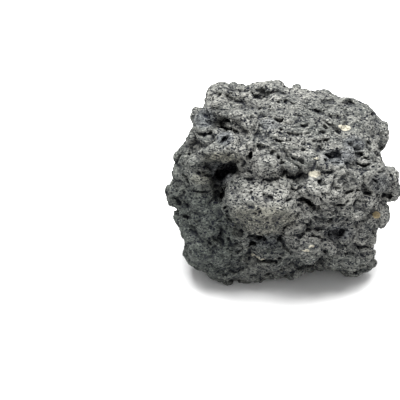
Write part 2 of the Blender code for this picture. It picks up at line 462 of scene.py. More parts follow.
def largest_piece(points: np.ndarray, faces: np.ndarray) -> tuple[np.ndarray, np.ndarray]:
    """Keeps the largest connected piece of a surface, so that no crumb floats beside it.

    Every point takes the lowest number among its neighbours, again and again, until nothing changes.

    Args:
        points: Places, one a row.
        faces: Rows of four indices.

    Returns:
        The points and faces that are kept, renumbered.
    """
    label = np.arange(len(points))
    ends = np.concatenate([faces[:, [0, 1]], faces[:, [1, 2]], faces[:, [2, 3]], faces[:, [3, 0]]])
    while True:
        lowest = label.copy()
        pair = np.minimum(label[ends[:, 0]], label[ends[:, 1]])
        np.minimum.at(lowest, ends[:, 0], pair)
        np.minimum.at(lowest, ends[:, 1], pair)
        lowest = lowest[lowest]
        if np.array_equal(lowest, label):
            break
        label = lowest
    main = np.bincount(label).argmax()
    keep = label == main
    renumber = np.cumsum(keep) - 1
    return points[keep], renumber[faces[keep[faces[:, 0]]]]


class StoneField:
    """The stone as signed distances on a lattice, below zero inside, and the ways its surface is broken."""

    def __init__(
        self, lattice: Lattice, values: np.ndarray, zones: dict[str, tuple[Zone, ...]], seed: int
    ) -> None:
        """Keeps the field, and works out its zones and the bending of its space.

        Args:
            lattice: Where the values lie.
            values: The signed distances to the solid.
            zones: The parts of each zone by name.
            seed: Picks the noises.
        """
        self.lattice = lattice
        self.values = values
        self.seed = seed
        x, y, z = lattice.axes()
        x, y, z = x - MIDDLE[0], y - MIDDLE[1], z - MIDDLE[2]
        self.face = (x, y * UP[1] + z * UP[2], y * OUT[1] + z * OUT[2])
        self.masks = {name: share_in(parts, self.face) for name, parts in zones.items()}
        self.masks["rough"] = 1 - SMOOTH_SHARE * self.masks["smooth"]
        self.masks["broken"] = self.masks["rough"] * (1 - PLATEAU_SHARE * self.masks["plateau"])
        self.masks["flowing"] = self.masks["rough"] * self.masks["plateau"]
        self.bend = []
        for axis in range(3):
            broad, fine = (
                reach * lattice.noise((width,) * 3, seed + 1 + 3 * index + axis)
                for index, (width, reach) in enumerate(BENDS)
            )
            self.bend.append(broad + fine)

    def at(self, values: np.ndarray, places: np.ndarray) -> np.ndarray:
        """Reads values at the lattice points nearest to some places.

        Args:
            values: Values that broadcast over the lattice.
            places: Places in millimetres, one a row.

        Returns:
            One value a row.
        """
        cell = np.rint((places - self.lattice.low) / self.lattice.step).astype(int)
        cell = np.clip(cell, 0, np.array(self.lattice.shape) - 1)
        return np.broadcast_to(values, self.lattice.shape)[tuple(cell.T)]

    def bent(self, places: np.ndarray) -> np.ndarray:
        """Moves places into the bent space."""
        return places + np.stack([self.at(bend, places) for bend in self.bend], axis=1)

    def box(self, middle: np.ndarray, reach: np.ndarray) -> tuple[slice, slice, slice]:
        """Picks the part of the lattice within reach of a place.

        Args:
            middle: The place.
            reach: How far the part goes along x, y and z.

        Returns:
            A slice for each axis.
        """
        low, step = self.lattice.low, self.lattice.step
        first = np.maximum(np.ceil((middle - reach - low) / step).astype(int), 0)
        last = np.floor((middle + reach - low) / step).astype(int) + 1
        return tuple(slice(a, max(a, b)) for a, b in zip(first.tolist(), last.tolist()))

    def offsets(
        self, box: tuple[slice, slice, slice], centre: np.ndarray, width: np.ndarray
    ) -> list[np.ndarray]:
        """Works out how far each point of a box lies from a centre in the bent space.

        Args:
            box: The part of the lattice.
            centre: The centre, in the bent space.
            width: What counts as one along x, y and z.

        Returns:
            The offsets along x, y and z.
        """
        lines = self.lattice.axes()
        result = []
        for axis in range(3):
            part = [slice(None)] * 3
            part[axis] = box[axis]
            line = lines[axis][tuple(part)]
            result.append((line + self.bend[axis][box] - centre[axis]) / width[axis])
        return result

    def sink(self, depth: float, over: float) -> None:
        """Lets the surface down, to leave room for what is added, but not at its resting base.

        Args:
            depth: How far.
            over: The height over which the base is spared, and again over which the depth comes in.
        """
        height = self.lattice.axes()[2] - self.lattice.axes()[2].min()
        base = np.clip((height - over) / over, 0.0, 1.0)
        self.values = self.values + depth * base

    def add_relief(self, relief: Relief, seed: int) -> None:
        """Moves the surface by a noise, where its zone lies.

        Args:
            relief: The layer.
            seed: Picks the noise.
        """
        wave = self.lattice.noise(relief.width, seed)
        self.values = self.values + relief.height * wave * self.masks[relief.zone]

    def pack_crumbs(self, layer: Crumbs, seed: int) -> None:
        """Breaks the surface into packed crumbs.

        Each lattice point belongs to the nearest of a jittered grid of centres in the bent space. The surface
        moves out by the bulge times one minus a multiple of the squared distance to that centre, in or out by
        the crumb's own step and lean, and in by the cleft where the nearest and the second nearest centre are
        almost equally far. A noise lets the clefts come and go.

        Args:
            layer: The layer's sizes.
            seed: Picks the centres.
        """
        lattice, chance = self.lattice, np.random.default_rng(seed)
        width = np.array(layer.width)
        counts = np.ceil((lattice.high - lattice.low) / width).astype(int) + 1
        grid = np.stack(np.meshgrid(*[np.arange(n) for n in counts], indexing="ij"), axis=-1).reshape(-1, 3)
        centres = lattice.low + (grid + chance.uniform(*CRUMB_PLACES, grid.shape)) * width
        centres = centres[np.abs(self.at(self.values, centres)) < CRUMB_SEARCH * width.max() + 1.5]
        steps = chance.normal(0, layer.step, len(centres))
        leans = chance.normal(0, layer.lean, (len(centres), 3))
        middles = self.bent(centres)
        nearest = np.full(lattice.shape, 9.0, np.float32)
        second = nearest.copy()
        height = np.zeros(lattice.shape, np.float32)
        for centre, middle, step, lean in zip(centres, middles, steps, leans):
            box = self.box(centre, CRUMB_REACH * width)
            across, deep, tall = self.offsets(box, middle, width)
            far = across**2 + deep**2 + tall**2
            closer = far < nearest[box]
            second[box] = np.where(closer, nearest[box], np.minimum(second[box], far))
            nearest[box] = np.where(closer, far, nearest[box])
            own = step + lean[0] * across + lean[1] * deep + lean[2] * tall
            height[box] = np.where(closer, own, height[box])
        gap = (np.sqrt(second) - np.sqrt(nearest)) * width.min()
        dome = layer.bulge * np.clip(1 - CRUMB_FALL * nearest, -1, 1)
        swing = lattice.noise(tuple(CLEFT_WIDTH * width), seed + 1) * CLEFT_SWING
        cleft = layer.cleft * np.clip(swing + CLEFT_MIDDLE, 0, CLEFT_MOST) * np.exp(-gap / layer.gap)
        change = cleft - dome - height * np.clip(gap / CRUMB_EDGE, 0, 1)
        self.values = self.values + change * self.masks[layer.zone]

    def spots(
        self, mask: np.ndarray, count: int, chance: np.random.Generator
    ) -> tuple[np.ndarray, np.ndarray]:
        """Picks places on the surface, more of them where the mask is high.

        Args:
            mask: The zone.
            count: How many places.
            chance: The draw.

        Returns:
            The places, and the outward directions there.
        """
        lattice = self.lattice
        near = np.argwhere(np.abs(self.values[3:-3, 3:-3, 3:-3]) < lattice.step * 0.6) + 3
        weight = np.broadcast_to(mask, lattice.shape)[tuple(near.T)] + 1e-3
        picked = near[chance.choice(len(near), count, replace=False, p=weight / weight.sum())]
        ways = np.eye(3, dtype=int) * 2
        rises = [self.values[tuple((picked + way).T)] - self.values[tuple((picked - way).T)] for way in ways]
        slope = np.stack(rises, axis=1)
        slope /= np.linalg.norm(slope, axis=1, keepdims=True) + 1e-9
        return lattice.low + lattice.step * (picked + chance.uniform(-0.5, 0.5, picked.shape)), slope

    def open_bubbles(self, kind: Bubbles, seed: int) -> None:
        """Cuts a set of bubbles out of the stone.

        The field takes the higher of itself and minus the distance to each bubble's ball.

        Args:
            kind: The set.
            seed: Picks the places and sizes.
        """
        chance = np.random.default_rng(seed)
        places, slopes = self.spots(self.masks[kind.zone], kind.count, chance)
        low, high = kind.radius
        radii = low + (high - low) * chance.random(kind.count) ** BUBBLE_POWER
        sinks = chance.uniform(*BUBBLE_SINK, kind.count)
        centres = places - slopes * (radii * sinks)[:, None]
        widths = np.array(kind.width) * chance.uniform(*BUBBLE_WIDTH, (kind.count, 3))
        for centre, middle, radius, width in zip(centres, self.bent(centres), radii, widths):
            box = self.box(centre, radius * width * 1.5 + 1.5 * self.lattice.step)
            across, deep, tall = self.offsets(box, middle, width)
            ball = np.sqrt(across**2 + deep**2 + tall**2) - radius
            self.values[box] = np.maximum(self.values[box], -ball)

    def surface_out(self, place: tuple[float, float]) -> float:
        """Finds how far out the surface lies at a place of the weathered face, along a line from the front.

        Args:
            place: The place across and up.

        Returns:
            The outermost point's distance out.
        """
        outs = np.arange(*FACE_LINE)
        ray = MIDDLE + ACROSS * place[0] + UP * place[1] + OUT * outs[:, None]
        return float(outs[np.argmax(self.lattice.sample(self.values, ray) < 0)])

    def shaped(
        self,
        place: tuple[float, float],
        out: float,
        half: tuple[float, float, float],
        roll: float,
        rough: float = 1.0,
    ) -> tuple[tuple[slice, slice, slice], np.ndarray]:
        """Works out, near a place of the weathered face, how far each point lies in or out of an ellipsoid.

        The offsets from its centre, turned by its roll and bent by the noises, are divided by its half sizes.
        The value is their length less one, times the least half size.

        Args:
            place: Its centre, across and up.
            out: How far out its centre lies.
            half: Its half sizes across, up and out.
            roll: Its turn in degrees.
            rough: How much of the bending it takes.

        Returns:
            The part of the lattice round it, and the values there, below zero inside.
        """
        centre = MIDDLE + ACROSS * place[0] + UP * place[1] + OUT * out
        box = self.box(centre, np.full(3, 1.15 * max(half) + 3.0))
        here = self.bent(centre[None])[0] - centre
        bend = [rough * (self.bend[a][box] - here[a]) for a in range(3)]
        across = self.face[0][box[0]] - place[0] + bend[0]
        up = self.face[1][:, box[1], box[2]] - place[1] + bend[1]
        in_out = self.face[2][:, box[1], box[2]] - out + bend[2]
        turn = math.radians(roll)
        along = (across * math.cos(turn) + up * math.sin(turn)) / half[0]
        over = (up * math.cos(turn) - across * math.sin(turn)) / half[1]
        reach = np.sqrt(along**2 + over**2 + (in_out / half[2]) ** 2)
        return box, (reach - 1) * min(half)

    def raise_knob(self, knob: Knob) -> None:
        """Fuses a lump to the weathered face, as an ellipsoid that stands proud of it.

        Args:
            knob: Its place and sizes.
        """
        out = self.surface_out(knob.place) + knob.proud - knob.half[2]
        log.debug("%s lies %.1f out", knob.name, out)
        box, shape = self.shaped(knob.place, out, knob.half, knob.roll)
        self.values[box] = np.minimum(self.values[box], shape)

    def sink_hollow(self, hollow: Hollow, seed: int) -> None:
        """Cuts an ellipsoid into the weathered face, with four smaller ones that break its rim.

        Args:
            hollow: Its place and sizes.
            seed: Picks where the smaller ones lie.
        """
        chance = np.random.default_rng(seed)
        out = self.surface_out(hollow.place) - hollow.sink * hollow.half[2]
        log.debug("%s lies %.1f out", hollow.name, out)
        turn = math.radians(hollow.roll)
        parts = [(0.0, 0.0, HOLLOW_SHARE)]
        for angle in chance.uniform(-RIM_STRAY, RIM_STRAY, 4) + np.arange(4) * math.pi / 2:
            share = float(chance.uniform(*RIM_SHARES))
            parts.append((RIM_PLACE * math.cos(angle), RIM_PLACE * math.sin(angle), share))
        for along, over, share in parts:
            across = along * hollow.half[0] * math.cos(turn) - over * hollow.half[1] * math.sin(turn)
            up = along * hollow.half[0] * math.sin(turn) + over * hollow.half[1] * math.cos(turn)
            half = tuple(share * size for size in hollow.half)
            place = (hollow.place[0] + across, hollow.place[1] + up)
            box, shape = self.shaped(place, out, half, hollow.roll, RIM_BEND)
            self.values[box] = np.maximum(self.values[box], -shape)

    def open_crevice(self, crevice: Crevice, seed: int) -> None:
        """Cuts a crevice as a chain of narrow ellipsoids along its path, each as deep as it is told.

        Args:
            crevice: Its path and sizes.
            seed: Picks how it wanders and widens.
        """
        chance = np.random.default_rng(seed)
        path = np.array(crevice.path)
        lengths = np.linalg.norm(np.diff(path, axis=0), axis=1)
        walked = np.concatenate([[0.0], np.cumsum(lengths)])
        steps = np.linspace(0, walked[-1], max(2, int(walked[-1] / (CREVICE_STEP * crevice.width)) + 1))
        places = np.stack([np.interp(steps, walked, path[:, axis]) for axis in range(2)], axis=1)
        places += chance.normal(0, CREVICE_WANDER * crevice.width, places.shape)
        outs = [self.surface_out(tuple(place)) for place in places]
        log.debug("%s lies %.1f to %.1f out", crevice.name, min(outs), max(outs))
        from_end = np.minimum(steps, walked[-1] - steps)
        taper = np.clip(from_end / (CREVICE_TAPER * crevice.width) + CREVICE_END, 0, 1)
        for place, out, share in zip(places, outs, taper * chance.uniform(*CREVICE_VARIES, len(places))):
            half = (crevice.width * share, crevice.width * share, crevice.depth * share)
            box, shape = self.shaped(tuple(place), out, half, 0.0, CREVICE_BEND)
            self.values[box] = np.maximum(self.values[box], -shape)

    def folds(self) -> np.ndarray:
        """Averages the field, held to the fold's reach, over as much: high on spikes and low in folds."""
        return self.lattice.blur(np.clip(self.values, -FOLD_REACH, FOLD_REACH) / FOLD_REACH, FOLD_REACH)

    def wear_spikes(self, limit: float) -> None:
        """Wears off what stands out too thin: the surface comes in to where the average is the limit."""
        for _ in range(WEAR_ROUNDS):
            self.values = np.maximum(self.values, WEAR_SLOPE * (self.folds() - limit))

    def keep_in(self, low: np.ndarray, high: np.ndarray) -> None:
        """Cuts off what reaches out of a box."""
        for axis, line in enumerate(self.lattice.axes()):
            self.values = np.maximum(self.values, np.maximum(low[axis] - line, line - high[axis]))

    def fuse_diagonals(self, depth: float) -> None:
        """Fuses stone that meets only across a lattice square's diagonal, so that sheets share no edge.

        Where two opposite points of a square lie inside and the other two outside, the outer one nearer the
        surface comes inside by the depth. That is done again until no such square is left.

        Args:
            depth: How far inside it comes.
        """
        again = True
        while again:
            again = False
            for one, two in itertools.combinations(range(3), 2):
                parts = []
                for first in ((0, 0), (1, 1), (1, 0), (0, 1)):
                    part = [slice(None)] * 3
                    part[one] = slice(first[0], self.values.shape[one] - 1 + first[0])
                    part[two] = slice(first[1], self.values.shape[two] - 1 + first[1])
                    parts.append(self.values[tuple(part)])
                for inner, outer in ((parts[:2], parts[2:]), (parts[2:], parts[:2])):
                    touch = (inner[0] < 0) & (inner[1] < 0) & (outer[0] >= 0) & (outer[1] >= 0)
                    nearer = outer[0] <= outer[1]
                    again = again or bool(touch.any())
                    outer[0][touch & nearer] = -depth
                    outer[1][touch & ~nearer] = -depth


@dataclass
class StoneBlock:
    """The one piece of vesicular stone: its field, its skin and its finish."""

    step: float = 0.58
    step_quick: float = 0.72
    coarse_step: float = 1.5
    margin: float = 4.0
    coarse_margin: float = 3.0
    band: float = 7.5
    let_down: float = 0.6
    base_height: float = 3.0
    spike_limit: float = 0.36
    fused_depth: float = 0.15
    most_triangles: int = 196000
    spare_face: float = 0.003
    spare_from: float = 12.0
    spare_over: float = 30.0
    spare_levels: int = 5
    spare_weight: float = 0.2
    chart_scale: float = 330.0
    seed: int = 20
    zones: dict[str, tuple[Zone, ...]] = field(
        default_factory=lambda: {
            "smooth": (
                Zone((-13, -13, 36), (19, 14, 22)),
                Zone((-10, 6, 44), (7, 7, 14), 0.8),
                Zone((-36, -34, 0), (16, 12, 40), 0.35),
                Zone((-41, -1, 20), (8, 4, 20), 0.5),
                Zone((-7, -32, 10), (9, 7, 30), 0.6),
                Zone((44, 31, 2), (10, 10, 24), 0.65),
            ),
            "nodule": (Zone((-13, -13, 36), (21, 16, 22)), Zone((-10, 7, 44), (9, 9, 14))),
            "plateau": (Zone((10, 32, 24), (42, 18, 40)),),
        }
    )
    tints: dict[str, tuple[Zone, ...]] = field(
        default_factory=lambda: {
            # Partly darker green-grey stone and partly painted shade: darkens the left side and the bottom,
            # which face away from the light, and the recess under the nodule.
            "dark_zone": (
                Zone((-40, -28, 0), (22, 26, 60)),
                Zone((-36, -12, 10), (12, 12, 60), 0.15),
                Zone((-46, 10, 10), (16, 26, 60), 0.3),
                Zone((-56, -14, 10), (14, 30, 60), 0.6),
                Zone((0, -46, 0), (60, 12, 60), 0.5),
                Zone((26, 30, 24), (22, 12, 20), 0.2),
                Zone((-8, -32, 10), (10, 6, 60), 0.6),
            ),
            "drab_zone": (
                Zone((-31, 10, 40), (9, 3, 14), 0.9),
                Zone((-40, 0.5, 31), (7, 3, 14), 0.6),
                Zone((-12, -20, 42), (18, 8, 20), 0.7),
            ),
            # Painted shade: a navy darkening in the hollows and pockets, where blue sky-lit shade falls.
            "navy_zone": (
                Zone((-40, 30, 26), (6, 5, 18)),
                Zone((-29.5, 19.5, 35), (4, 4, 18)),
                Zone((25, 10.5, 37), (9, 4, 18)),
                Zone((33, 17, 34), (6, 4, 18)),
                Zone((-8, 27, 33), (6, 3, 18), 0.7),
                Zone((-31, 4, 20), (7, 6, 30)),
                Zone((26, -26, 18), (8, 4, 18)),
                Zone((46, -1, 25), (6, 5, 18), 0.7),
                Zone((-10, -30, 16), (9, 4, 20), 0.8),
            ),
            # Partly paler worn stone and partly painted light: lightens the cheeks right of the nodule and the
            # shelf under the cavity's roof, where shade falls.
            "worn_zone": (
                Zone((12.5, -6, 44), (8, 6, 20)),
                Zone((-11, 6.5, 48), (6, 6, 16), 0.8),
                Zone((-9, -6, 45), (12, 6, 20), 1.0),
                Zone((2, -9, 41), (5, 6, 20), 0.8),
                Zone((28, -8, 37), (9, 5, 20), 0.8),
                Zone((12, 3, 43), (6, 3, 16), 0.6),
                Zone((-14.5, 12, 49), (4, 3, 12), 0.7),
                Zone((9.5, -15, 34), (8, 5, 20), 0.6),
                Zone((-41, -1, 22), (9, 6, 20), 0.9),
                Zone((-33, -9, 20), (4, 7, 14), 0.7),
            ),
            "pale_zone": (
                Zone((29.4, 25.3, 28.5), (2.6, 1.5, 9)),
                Zone((27.4, 25.9, 28.5), (1.8, 0.9, 9)),
                Zone((13.1, 2.5, 46), (3.0, 1.5, 11)),
                Zone((10.2, -34.6, 31), (2.6, 0.7, 11), 0.75),
                Zone((13.0, -32.6, 31), (1.6, 0.8, 11), 0.75),
                Zone((-15.0, -37.3, 12), (0.9, 0.6, 10)),
                Zone((-13.0, -38.6, 12), (1.3, 0.5, 10)),
                Zone((-10.4, -39.7, 15), (1.0, 0.6, 10)),
                Zone((13.6, 9.9, 43), (1.7, 0.5, 11), 0.9),
            ),
            "tan_zone": (Zone((45.7, -17.4, 20.6), (1.8, 1.8, 6)),),
        }
    )
    reliefs: tuple[Relief, ...] = (
        Relief("swells", (9, 9, 8), 0.4, "rough"),
        Relief("flow_bands", (13, 3.4, 2.6), 0.4, "plateau"),
    )
    crumbs: tuple[Crumbs, ...] = (
        Crumbs("lumps", (9.5, 8, 7.5), 0.6, 0.6, 1.0, 1.45, 0.55, "broken"),
        Crumbs("crumbs", (5.4, 4.6, 4.2), 0.3, 0.42, 0.7, 1.15, 0.42, "broken"),
        Crumbs("flow_crumbs", (8, 3, 2.4), 0.3, 0.3, 0.5, 1.2, 0.4, "flowing"),
        Crumbs("bits", (3.0, 2.5, 2.2), 0.15, 0.22, 0.35, 0.7, 0.33, "rough"),
        Crumbs("nodule_crust", (6, 4, 4), 0.2, 0.15, 0.3, 0.5, 0.4, "smooth"),
    )
    knobs: tuple[Knob, ...] = (
        Knob("clinker_fill", (-28.5, 27.5), (4.2, 4.2, 5), 0, 3.2),
        Knob("roof_edge", (-20, 26.5), (6, 2.2, 5), -28, 1.2),
        Knob("clump_a", (-26.5, 18.5), (3.6, 3.2, 4), 0, 1.2),
        Knob("clump_b", (-18, 15.5), (3.2, 2.8, 4), 0, 1.3),
        Knob("clump_c", (-32, 22), (3.4, 3.2, 4), 20, 1.0),
        Knob("clump_d", (-40, 26), (3.2, 3.0, 4), 0, 1.0),
        Knob("clump_e", (-45, 19), (3.4, 3.2, 4), 0, 0.8),
        Knob("clump_f", (-36, 30.5), (3.6, 2.6, 4), 15, 0.9),
        Knob("brow", (-22.5, 36.5), (6.5, 1.7, 4), 8, 1.0),
        Knob("left_of_small_nodule", (-14.8, 11.6), (3.8, 2.8, 4), 20, 0.9),
        Knob("hooked_lump", (2.3, 5.6), (3.8, 3.4, 5), -20, 1.2),
        Knob("ringed_lump", (5.2, -2.6), (3.2, 2.2, 4), 10, 0.8),
        Knob("white_patch_lump", (15, 3.6), (5, 3, 5), 10, 0.8),
        Knob("bright_cheek", (11.5, -5.5), (7, 5, 6), -25, 2.2),
        Knob("middle_face", (9.5, -14.5), (7, 5, 6), 10, 2.4),
        Knob("lower_face", (16, -20), (6, 4.5, 5), 0, 1.8),
        Knob("right_a", (20.5, -5.2), (4.2, 3.2, 5), 20, 1.0),
        Knob("right_b", (26.2, -9.4), (4.4, 2.4, 4.5), -5, 1.0),
        Knob("cobble_fill", (29, -0.5), (4.5, 4.5, 4.5), 0, 1.8),
        Knob("right_c", (33, 0.4), (4.4, 3.4, 5), -25, 1.0),
        Knob("right_d", (41.5, 3.6), (4, 4.4, 5), 20, 1.0),
        Knob("right_e", (30, 6), (4.6, 2.6, 5), -12, 0.9),
        Knob("right_f", (39, -9.5), (4.6, 3.2, 5), 0, 0.9),
        Knob("right_g", (33, -15.5), (4.4, 3.6, 5), 15, 0.9),
        Knob("right_h", (47, -4.5), (3.6, 3, 4), 20, 0.8),
        Knob("low_a", (14, -20), (4.6, 3, 4), 10, 0.7),
        Knob("low_b", (35, -24), (4.6, 3.4, 5), -10, 0.8),
        Knob("low_c", (42, -28), (4, 3, 4), 15, 0.8),
        Knob("chunk_a", (-26, -26.5), (4, 2.8, 4), -20, 0.9),
        Knob("chunk_b", (-20, -28), (3.8, 2.6, 4), -35, 0.9),
        Knob("chunk_c", (-26.5, -32), (3.6, 2.8, 4), 10, 0.8),
        Knob("chin_ridge", (-13, -38), (5.4, 1.8, 3), -28, 0.7),
        Knob("under_left_a", (-53, -18.5), (2.6, 2.2, 3), 0, 0.6),
        Knob("pebble", (21.4, -17.8), (1.7, 1.9, 2.2), 0, 0.7),
        Knob("oval_grain", (21.8, -33.4), (2.4, 3.0, 3), 25, 1.2),
        Knob("tongue", (-33.5, 4.2), (5, 1.4, 4), -6, 1.2),
        Knob("tongue_root", (-40.2, 6.4), (5.2, 3.4, 6), -10, 3.6),
        Knob("hole_rim", (14.4, -11.6), (3.4, 2.6, 4), -20, 1.8),
        Knob("hole_rim_left", (6.6, -10.2), (3.2, 2.4, 4), 10, 1.2),
        Knob("slot_fill", (-31.4, -7.5), (2.4, 4.6, 4), 8, 2.0),
    )
    hollows: tuple[Hollow, ...] = (
        Hollow("cavity", (-27.6, 6.2), (5, 2.6, 11), 18),
        Hollow("cavity_back", (-30.0, 3.2), (3.4, 3.2, 10), 20),
        Hollow("cavity_lip", (-30.4, 0.6), (2.4, 2.6, 8), 20, -0.4),
        Hollow("nodule_slit", (-7.6, -8.7), (2.3, 0.8, 1.8), -8),
        Hollow("nodule_hollow", (-25, -17.4), (2.2, 1.1, 1.4), 20),
        Hollow("round_hole", (10.8, -11), (2.0, 1.7, 5), -6),
        Hollow("below_hole", (8.8, -14.6), (1.8, 0.8, 2), -20),
        Hollow("right_of_hole", (15.6, -14.0), (1.6, 1.1, 2.5), -40),
        Hollow("roof_hole", (-26.8, 28.6), (1.5, 2.0, 5), 20),
        Hollow("pocket_left", (-39.4, 31.6), (2.4, 2.4, 3.5), 30),
        Hollow("navy_left", (-29.8, 19.0), (2.6, 1.7, 4), 10),
        Hollow("nodes_gap", (-18.9, 9.3), (1.8, 1.6, 5), 20),
        Hollow("crest_pocket", (-10.4, 44.2), (3.0, 1.4, 2.8), -8),
        Hollow("top_pocket", (-2.8, 28.8), (3.0, 1.1, 2.4), -12),
        Hollow("small_pocket", (2.3, 39.4), (2.2, 1.0, 2), 5),
        Hollow("saddle", (22.4, 40.0), (4.2, 2.4, 3.4), -12),
        Hollow("lobe_hollow", (33.2, 39.2), (2.8, 1.4, 3), -8),
        Hollow("lobe_pit", (44.2, 36.0), (1.3, 0.9, 2), -30),
        Hollow("lobe_pit_low", (45.2, 32.6), (1.4, 1.0, 2), -30),
        Hollow("pit_over_chip", (18.9, 25.8), (1.6, 0.9, 2.4), -10),
        Hollow("pit_by_chip", (17.6, 22.4), (1.5, 0.8, 3), 0),
        Hollow("chip_pit", (25.6, 23.2), (1.5, 1.0, 2.6), 0),
        Hollow("middle_pit", (16.3, 15.1), (1.2, 0.9, 3), 0),
        Hollow("middle_pit_left", (7.8, 14.0), (1.3, 0.9, 2.6), -20),
        Hollow("blue_hollow", (24.6, 11.0), (3.8, 1.2, 2.6), -12),
        Hollow("blue_hollow_high", (30.6, 17.0), (1.8, 1.0, 2), 0),
        Hollow("right_hole", (35.4, 12.0), (1.5, 1.1, 4), -10),
        Hollow("left_pit", (6.6, 9.2), (2.0, 1.3, 4), -40),
        Hollow("corner_dark", (46.8, -1.0), (2.4, 1.7, 4), 10),
        Hollow("corner_high", (48.4, 8.8), (1.8, 1.3, 3), 0),
        Hollow("crevice_end", (28.0, -26.2), (3.0, 1.6, 4), 15),
        Hollow("low_pit", (17.0, -40.0), (2.2, 1.8, 5), 0),
        Hollow("right_dark", (45.6, -25.4), (2.4, 1.8, 4), 10),
        Hollow("black_gap", (-16.3, -31.6), (2.0, 2.2, 6), -10),
        Hollow("recess_left", (-12.4, -28.2), (2.2, 0.8, 2), -20),
        Hollow("recess_right", (-2.2, -28.0), (2.6, 1.4, 3.5), 35),
    )
    crevices: tuple[Crevice, ...] = (
        Crevice("roof_slot", ((-29, 25.4), (-26.6, 24.2), (-22.6, 21.6)), 0.8, 4),
        Crevice("under_clump", ((-42.5, 22.7), (-40.6, 21.0), (-38.4, 21.6)), 0.7, 3),
        Crevice("upper_crease", ((-14, 15.6), (-11, 14.2), (-7.8, 12.4), (-3.9, 10)), 1.1, 3.5),
        Crevice("block_crack", ((-14.9, 22.3), (-15.2, 17.7)), 0.7, 3),
        Crevice("under_brow", ((-27, 34.8), (-23.6, 35), (-19, 34.6)), 0.7, 2.5),
        Crevice("small_nodule_foot", ((-11.4, 0.0), (-7.3, -0.5), (-3.6, 0.8)), 0.7, 3),
        Crevice("small_nodule_side", ((-3, 8.2), (-2.8, 4.8), (-2.4, 1.4)), 0.7, 3.5),
        Crevice("hooked_crevice", ((-1.2, 4), (0.6, 1.4), (4.4, 0.6), (7.6, 2.4)), 0.8, 3),
        Crevice("nodule_left_edge", ((-29.6, -3), (-30.6, -9), (-29.4, -15.4), (-26.6, -20)), 1.0, 4),
        Crevice(
            "nodule_low_edge",
            ((-25, -22.4), (-20.4, -25.2), (-15.4, -26.4), (-9, -27.2), (-3, -25.4)),
            1.0,
            4,
        ),
        Crevice("nodule_right_edge", ((-1.2, -24), (3.4, -20), (6.4, -16)), 0.6, 2),
        Crevice("chunk_crack", ((-31.2, -23.4), (-31.4, -27.6), (-30.6, -33)), 0.7, 3),
        Crevice("chunk_split", ((-28, -28.6), (-24.4, -29.6), (-20.6, -31.4)), 0.6, 2),
        Crevice("chunk_under", ((-29, -34.6), (-25.4, -35.2), (-20, -34.6)), 0.7, 2.5),
        Crevice("chin_shadow", ((-12.4, -40.6), (-7.8, -40.2), (-2.4, -40.4)), 0.7, 2.5),
        Crevice("left_crescent", ((-51.4, -16.4), (-49.4, -18.6), (-46.6, -18.6)), 0.8, 3),
        Crevice("shelf_crack", ((-47.2, 2.4), (-47.8, -1.6)), 0.8, 3),
        Crevice("shelf_foot", ((-46, -5), (-41, -6.4), (-36, -5.4)), 0.6, 2),
        Crevice("facet_crack_a", ((-39.2, -28.8), (-36, -32), (-31.6, -34.4)), 0.45, 1.5),
        Crevice("facet_crack_b", ((-35.6, -28.6), (-31.8, -31.6)), 0.45, 1.5),
        Crevice("facet_crack_c", ((-37.6, -33.4), (-33, -36.2)), 0.4, 1.2),
        Crevice("facet_crack_d", ((-47, -24.6), (-42.6, -26.6), (-40, -26.4)), 0.5, 1.6),
        Crevice("nodule_line_a", ((-20.8, -6), (-17, -6.8)), 0.45, 1.2),
        Crevice("nodule_line_b", ((-15, -21.6), (-11.6, -21.2)), 0.45, 1.2),
        Crevice("nodule_line_c", ((-23, -11.4), (-19.6, -12)), 0.4, 1.2),
        Crevice("ring_crevice", ((2.2, -3), (2.8, -4.8), (5.2, -5.4), (8, -3.4)), 0.6, 2.5),
        Crevice(
            "u_crevice",
            ((18.6, -11.8), (22.6, -11.6), (25.2, -12.4), (28.4, -12.2), (30, -9.6)),
            0.7,
            3,
        ),
        Crevice("middle_crevice", ((28.6, -6.4), (31.8, -5), (35, -4.9), (40, -5.2)), 0.7, 3),
        Crevice("crescent", ((15, 0.8), (15.6, -1.9), (18.4, -3)), 0.8, 3),
        Crevice("field_a", ((18, 9), (22, 7.6), (26.4, 7.8)), 0.6, 2.5),
        Crevice("field_b", ((34, 7.6), (38, 6.4), (41, 8)), 0.6, 2.5),
        Crevice("field_c", ((36.2, -2), (38.6, -4), (39, -7)), 0.5, 2),
        Crevice("ear_line", ((40.6, 19), (43, 15.6), (45.8, 11.6)), 0.7, 3),
        Crevice("corner_crevice", ((47.6, -6.8), (51, -7.6), (54, -8)), 0.9, 3.5),
        Crevice("pebble_ring", ((19.8, -16.8), (19.6, -19), (21.4, -20.2), (23.2, -18.8)), 0.5, 1.8),
        Crevice("crease", ((10, -24.6), (14, -24.2), (19, -23.6), (26, -24.6)), 0.7, 3),
        Crevice("crease_low", ((12, -27.4), (17, -27.8), (22.6, -27.2)), 0.6, 2.5),
        Crevice("chin_edge", ((-1.2, -29.4), (0.8, -33), (4.4, -36.8), (8.4, -38.8)), 0.8, 3),
        Crevice("oval_ring", ((19.2, -31.6), (19, -34.6), (21, -37)), 0.6, 2),
        Crevice("layer_crevice", ((36.6, -33.2), (39.8, -33.4), (43.4, -32.4)), 0.7, 2.5),
        Crevice("layer_crevice_low", ((27, -37.4), (31, -36), (35.6, -36.4)), 0.5, 2),
        Crevice("bottom_crack", ((28, -42.6), (34, -43.4), (41, -43)), 0.5, 2),
        Crevice("plateau_line_a", ((0, 22.6), (5, 21.4), (11, 22)), 0.5, 1.6),
        Crevice("plateau_line_b", ((-12, 27.6), (-7, 26.8), (-5, 28)), 0.5, 1.6),
        Crevice("plateau_line_c", ((4, 31.6), (9, 30.8), (13, 31.6)), 0.5, 1.5),
        Crevice("plateau_line_d", ((-8, 19.6), (-3, 18.2), (2, 18.6)), 0.5, 1.8),
        Crevice("plateau_line_e", ((12, 18.6), (16, 18.2), (21, 19.4)), 0.5, 1.6),
    )
